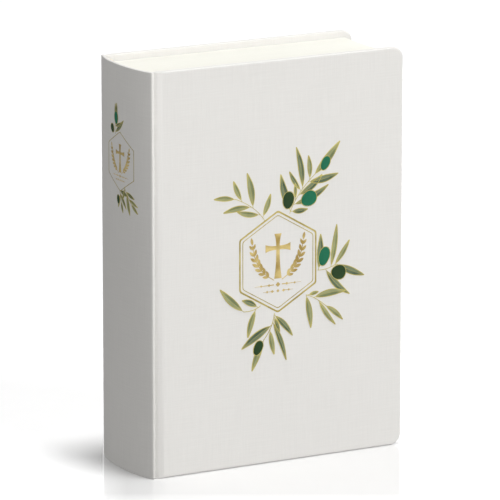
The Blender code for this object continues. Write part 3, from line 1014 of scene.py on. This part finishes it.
glow.inputs[2].default_value = FLOOR_GLOW
glow.inputs[3].default_value = FLOOR_LIFT
nt.links.new(glow.outputs[0], lift.inputs["Strength"])
both = nt.nodes.new("ShaderNodeAddShader")
nt.links.new(diffuse.outputs[0], both.inputs[0])
nt.links.new(lift.outputs[0], both.inputs[1])
gloss = node(nt, "ShaderNodeBsdfGlossy", Color=(1, 1, 1, 1), Roughness=0.03)
mix = nt.nodes.new("ShaderNodeMixShader")
pos = split(nt, nt.nodes.new("ShaderNodeNewGeometry").outputs["Position"])
towards = maths(nt, "ADD", maths(nt, "MULTIPLY", pos[0], math.sin(AZ)), maths(nt, "MULTIPLY", pos[1], -math.cos(AZ)))
across = maths(nt, "ADD", maths(nt, "MULTIPLY", pos[0], math.cos(AZ)), maths(nt, "MULTIPLY", pos[1], math.sin(AZ)))
near = maths(nt, "MULTIPLY", remap(nt, towards, 0.0, 0.10, 1.0, 0.85), remap(nt, towards, 0.095, 0.128, 1.0, 0.0))
near = maths(nt, "MULTIPLY", near, remap(nt, towards, -0.035, -0.015, 0.0, 1.0))
depth = maths(nt, "MULTIPLY_ADD", towards, -0.32, 1.0038)
side_of = maths(nt, "DIVIDE", across, depth)
near = maths(nt, "MULTIPLY", near, remap(nt, across, 0.10, 0.13, 1.0, 0.0))
# soft: the glossy patch in front of the book, with a softer edge beside the spine. Below, the floor's colour is
# darkened there: painted shade on the floor in front of the book.
soft = maths(nt, "MULTIPLY", near, remap(nt, side_of, -0.0864, -0.072, 0.0, 1.0))
near = maths(nt, "MULTIPLY", near, remap(nt, side_of, -0.0864, -0.0857, 0.0, 1.0))
seen = nt.nodes.new("ShaderNodeLightPath")
graze = node(nt, "ShaderNodeLayerWeight", Blend=0.5)
sheen = maths(nt, "MULTIPLY", maths(nt, "POWER", graze.outputs["Facing"], 3.0), 0.87)
nt.links.new(maths(nt, "MULTIPLY", maths(nt, "MULTIPLY", near, sheen), seen.outputs["Is Camera Ray"]), mix.inputs[0])
# Painted shade: the floor's colour is darkened by up to 0.215 in the soft patch in front of the book.
nt.links.new(maths(nt, "MULTIPLY", tone, maths(nt, "MULTIPLY_ADD", soft, -0.215, 1.0)), diffuse.inputs["Color"])
nt.links.new(both.outputs[0], mix.inputs[1])
nt.links.new(gloss.outputs[0], mix.inputs[2])
nt.links.new(mix.outputs[0], out.inputs["Surface"])
bpy.ops.mesh.primitive_plane_add(size=12, location=(0, 0, -0.0002))
floor = bpy.context.object
floor.name = "floor"
floor.data.materials.append(m)

world = bpy.data.worlds.new("studio")
scene.world = world
world.use_nodes = True
nt = world.node_tree
nt.nodes.clear()
wout = nt.nodes.new("ShaderNodeOutputWorld")
bg = nt.nodes.new("ShaderNodeBackground")
direction = nt.nodes.new("ShaderNodeTexCoord").outputs["Generated"]
dot = nt.nodes.new("ShaderNodeVectorMath")
dot.operation = "DOT_PRODUCT"
nt.links.new(direction, dot.inputs[0])
dot.inputs[1].default_value = tuple(Vector((0.62, 0.75, 0.2)).normalized())
lean = nt.nodes.new("ShaderNodeVectorMath")
lean.operation = "DOT_PRODUCT"
nt.links.new(direction, lean.inputs[0])
lean.inputs[1].default_value = (0.2, -0.98, 0.0)
base = remap(nt, lean.outputs["Value"], -1.0, 1.0, DOME * 0.55, DOME * 1.45)
bright = remap(nt, dot.outputs["Value"], 0.70, 0.92, 0.0, 1.0)
level = maths(nt, "ADD", base, maths(nt, "MULTIPLY", bright, 1.1))
lp = nt.nodes.new("ShaderNodeLightPath")
shiny = nt.nodes.new("ShaderNodeMix")
shiny.data_type = "FLOAT"
nt.links.new(lp.outputs["Is Glossy Ray"], shiny.inputs["Factor"])
nt.links.new(level, shiny.inputs[2])
shiny.inputs[3].default_value = 1.15
cam_white = nt.nodes.new("ShaderNodeMix")
cam_white.data_type = "FLOAT"
nt.links.new(lp.outputs["Is Camera Ray"], cam_white.inputs["Factor"])
nt.links.new(shiny.outputs[0], cam_white.inputs[2])
cam_white.inputs[3].default_value = 1.05
bg.inputs["Color"].default_value = (1, 1, 1, 1)
nt.links.new(cam_white.outputs[0], bg.inputs["Strength"])
nt.links.new(bg.outputs[0], wout.inputs["Surface"])


def area(name, at, size, level, target=(0, 0, 0.12), flat=None):
    """A soft light; level is what it adds to a white surface facing it at the target."""
    light = bpy.data.lights.new(name, "AREA")
    light.shape = "DISK" if flat is None else "RECTANGLE"
    light.size = size
    if flat:
        light.size_y = flat
    reach = (Vector(target) - Vector(at)).length
    light.energy = level * math.pi ** 2 * reach ** 2
    o = bpy.data.objects.new(name, light)
    scene.collection.objects.link(o)
    o.location = at
    o.rotation_mode = "QUATERNION"
    o.rotation_quaternion = (Vector(target) - Vector(at)).to_track_quat("-Z", "Y")
    return o


sun = bpy.data.lights.new("overhead", "SUN")
sun.energy = KEY * math.pi
sun.angle = math.radians(12)
sun_obj = bpy.data.objects.new("overhead", sun)
scene.collection.objects.link(sun_obj)
sun_obj.rotation_mode = "QUATERNION"
sun_obj.rotation_quaternion = Vector((-0.29, 0.41, -4.4)).to_track_quat("-Z", "Y")
rear = area("rear_box", (1.7, 2.4, 0.60), 1.6, REAR, flat=0.9)
rear.visible_glossy = False
behind = bpy.data.collections.new("not_by_rear_box")
behind.objects.link(floor)
behind.collection_objects[0].light_linking.link_state = "EXCLUDE"
rear.light_linking.receiver_collection = behind
area("front_box", (1.35, -3.3, 0.80), 2.0, FILL, flat=0.6)
area("high_box", (1.2, -2.6, 2.2), 1.8, TOP_FILL, flat=1.8)
area("side_box", (-2.3, -1.2, 0.45), 1.2, SIDE, flat=0.7)

cam = bpy.data.cameras.new("camera")
cam_obj = bpy.data.objects.new("camera", cam)
scene.collection.objects.link(cam_obj)
cam.sensor_width = 36
cam.lens = 5163.04 / 500 * 36
cam.shift_x = (250 - 248.944) / 500
cam.shift_y = (251.747 - 250) / 500
cam.clip_start, cam.clip_end = 0.05, 100
cam_obj.location = Vector((0, 0, 0.12)) + BACK * 3.02976
cam_obj.rotation_mode = "QUATERNION"
cam_obj.rotation_quaternion = (-BACK).to_track_quat("-Z", "Y")
scene.camera = cam_obj
